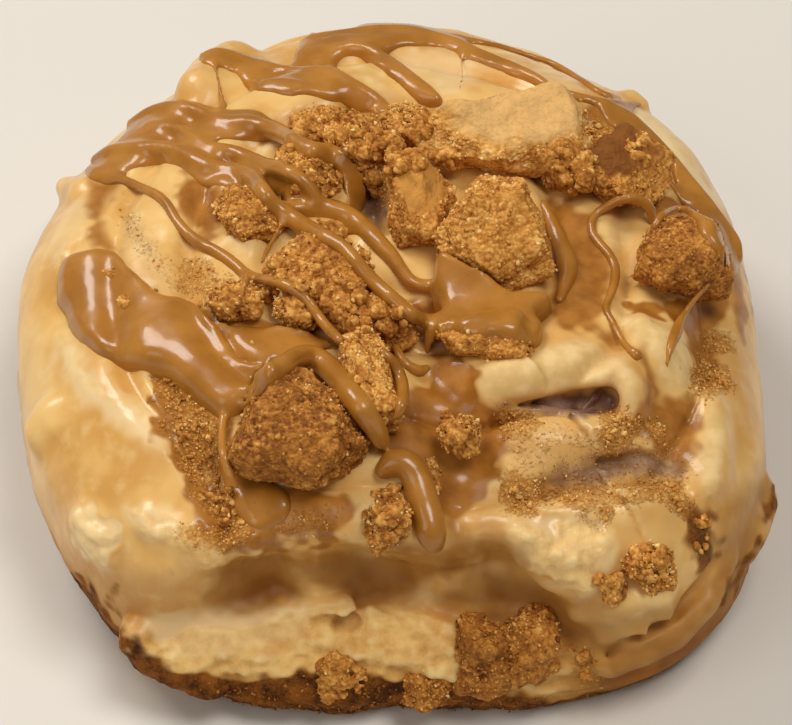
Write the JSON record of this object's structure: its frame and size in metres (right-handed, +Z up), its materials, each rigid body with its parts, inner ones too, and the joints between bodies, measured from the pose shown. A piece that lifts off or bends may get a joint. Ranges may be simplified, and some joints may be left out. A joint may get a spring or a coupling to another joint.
{
  "type": "cinnamon roll",
  "caption": "Glazed cinnamon roll with a wound dough strip, cinnamon filling, thick cookie-butter drizzle and broken spiced biscuits on top.",
  "frame": {"origin": "centre of the flat underside, the middle of the part's box in plan", "axes": "+Z up through the crown; -Y faces the torn front where the neighbouring roll was pulled off"},
  "size_m": [0.1089, 0.1187, 0.0511],
  "materials": {
    "dough": "soft baked dough under a thin translucent sugar glaze, with glossy cookie butter on top",
    "filling": "moist cinnamon and brown sugar paste",
    "biscuit": "dry, coarse, broken spiced biscuit"
  },
  "bodies": {
    "root": {"dough": "dough", "cinnamon_filling": "filling", "biscuit_front_left": "biscuit", "biscuit_centre_right": "biscuit", "biscuit_back": "biscuit", "biscuit_right": "biscuit", "biscuit_back_right": "biscuit", "biscuit_centre": "biscuit", "biscuit_front_slip": "biscuit", "biscuit_middle_left": "biscuit", "biscuit_middle": "biscuit", "biscuit_heap": "biscuit", "biscuit_under_sauce": "biscuit", "biscuit_left": "biscuit"}
  },
  "joints": []
}
